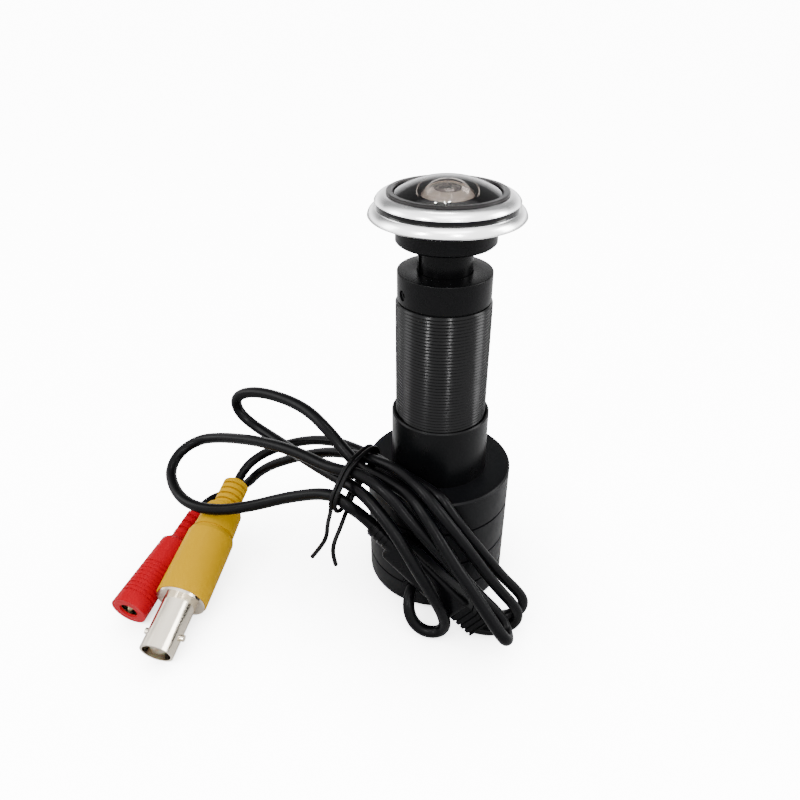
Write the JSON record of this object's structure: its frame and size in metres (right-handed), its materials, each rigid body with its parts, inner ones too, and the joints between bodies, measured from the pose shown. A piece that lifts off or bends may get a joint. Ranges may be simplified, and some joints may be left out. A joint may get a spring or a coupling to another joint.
{
  "type": "door viewer",
  "caption": "Wide-angle door viewer: a domed lens head on a threaded through-door barrel, with a camera in the rear housing and a cord ending in video and power jacks.",
  "frame": {"origin": "centre of the rear housing's flat underside, on the optical axis", "axes": "+Z along the optical axis from the rear housing towards the dome lens; -Y faces the side the cord leaves from; the cord lies on the table round the base"},
  "size_m": [0.1329, 0.0777, 0.1343],
  "materials": {
    "housing_paint": "satin charcoal coating",
    "sleeve_metal": "semi-gloss black coating",
    "zinc_screw": "zinc-plated",
    "spacer_metal": "turned",
    "board_laminate": "green solder mask",
    "component_body": "moulded",
    "sensor_die": "polished",
    "black_alloy": "black anodised",
    "coated_glass": "coated optical glass",
    "dome_glass": "polished dome",
    "thread_metal": "black plated thread",
    "neck_metal": "gloss black",
    "bright_chrome": "polished",
    "black_gloss": "gloss black",
    "rim_metal": "dark satin",
    "seat_alloy": "dark blasted",
    "cell_alloy": "blasted",
    "clamp_nylon": "natural nylon",
    "screw_steel": "black oxide",
    "cord_jacket": "satin black jacket",
    "loom_jacket": "insulation",
    "connector_white": "moulded",
    "tie_coating": "coated wire",
    "yellow_moulding": "soft moulded",
    "red_moulding": "soft moulded",
    "nickel_plate": "nickel plated",
    "white_insulator": "moulded",
    "gold_contact": "plated"
  },
  "bodies": {
    "rear_housing": {"base_cover": "housing_paint", "housing_tube": "housing_paint", "top_cap": "housing_paint", "lock_sleeve": "sleeve_metal", "tie_screws": "zinc_screw", "holder_screws": "zinc_screw", "lower_spacers": "spacer_metal", "middle_spacers": "spacer_metal", "upper_spacers": "spacer_metal", "power_board": "board_laminate", "sensor_board": "board_laminate", "board_components": "component_body", "lens_holder": "component_body", "image_sensor": "sensor_die", "camera_lens_tube": "black_alloy", "camera_lens_glass": "coated_glass", "main_cable": "cord_jacket", "power_lead": "cord_jacket", "video_lead": "cord_jacket", "strain_relief": "cord_jacket", "y_splitter": "cord_jacket", "wire_loom": "loom_jacket", "wire_plug": "connector_white", "twist_tie": "tie_coating", "video_overmould": "yellow_moulding", "power_overmould": "red_moulding", "video_shell": "nickel_plate", "power_sleeve": "nickel_plate", "power_pin": "nickel_plate", "video_insulator": "white_insulator", "video_contact": "gold_contact"},
    "eyepiece": {"eyepiece_lens": "coated_glass", "eyepiece_ring": "black_alloy"},
    "barrel": {"barrel_tube": "thread_metal"},
    "head": {"neck_tube": "neck_metal", "neck_end_ring": "black_alloy", "relay_lens": "coated_glass", "relay_spacer": "black_alloy", "head_hub": "neck_metal", "lower_flange_ring": "bright_chrome", "groove_ring": "black_gloss", "upper_bezel_ring": "bright_chrome", "retaining_rim": "rim_metal", "front_lens": "dome_glass", "lens_seat": "seat_alloy", "lens_cell_ring": "cell_alloy", "second_lens": "coated_glass"},
    "clamp_pad_body": {"clamp_pad": "clamp_nylon"},
    "clamp_screw_body": {"clamp_screw": "screw_steel"}
  },
  "joints": [
    {"name": "barrel_travel", "type": "slide", "parent": "rear_housing", "child": "eyepiece", "axis": [0, 0, 1], "range_m": [-0.025, 0.008]},
    {"name": "barrel_turn", "type": "hinge", "parent": "eyepiece", "child": "barrel", "pos_m": [0, 0, 0.055], "axis": [0, 0, 1], "range_deg": [-9000, 2880]},
    {"name": "neck_slide", "type": "slide", "parent": "barrel", "child": "head", "axis": [0, 0, 1], "range_m": [-0.0079, 0.008]},
    {"name": "clamp_travel", "type": "slide", "parent": "barrel", "child": "clamp_pad_body", "axis": [-0.8572, -0.515, 0], "range_m": [0, 0.0012]},
    {"name": "clamp_turn", "type": "hinge", "parent": "clamp_pad_body", "child": "clamp_screw_body", "pos_m": [-0.01072, -0.00644, 0.1037], "axis": [-0.8572, -0.515, 0], "range_deg": [0, 870]}
  ],
  "couplings": [
    {"joint": "barrel_travel", "follows": "barrel_turn", "m_per_rad": 0.00015915},
    {"joint": "clamp_turn", "follows": "clamp_travel", "rad_per_m": 12566}
  ]
}
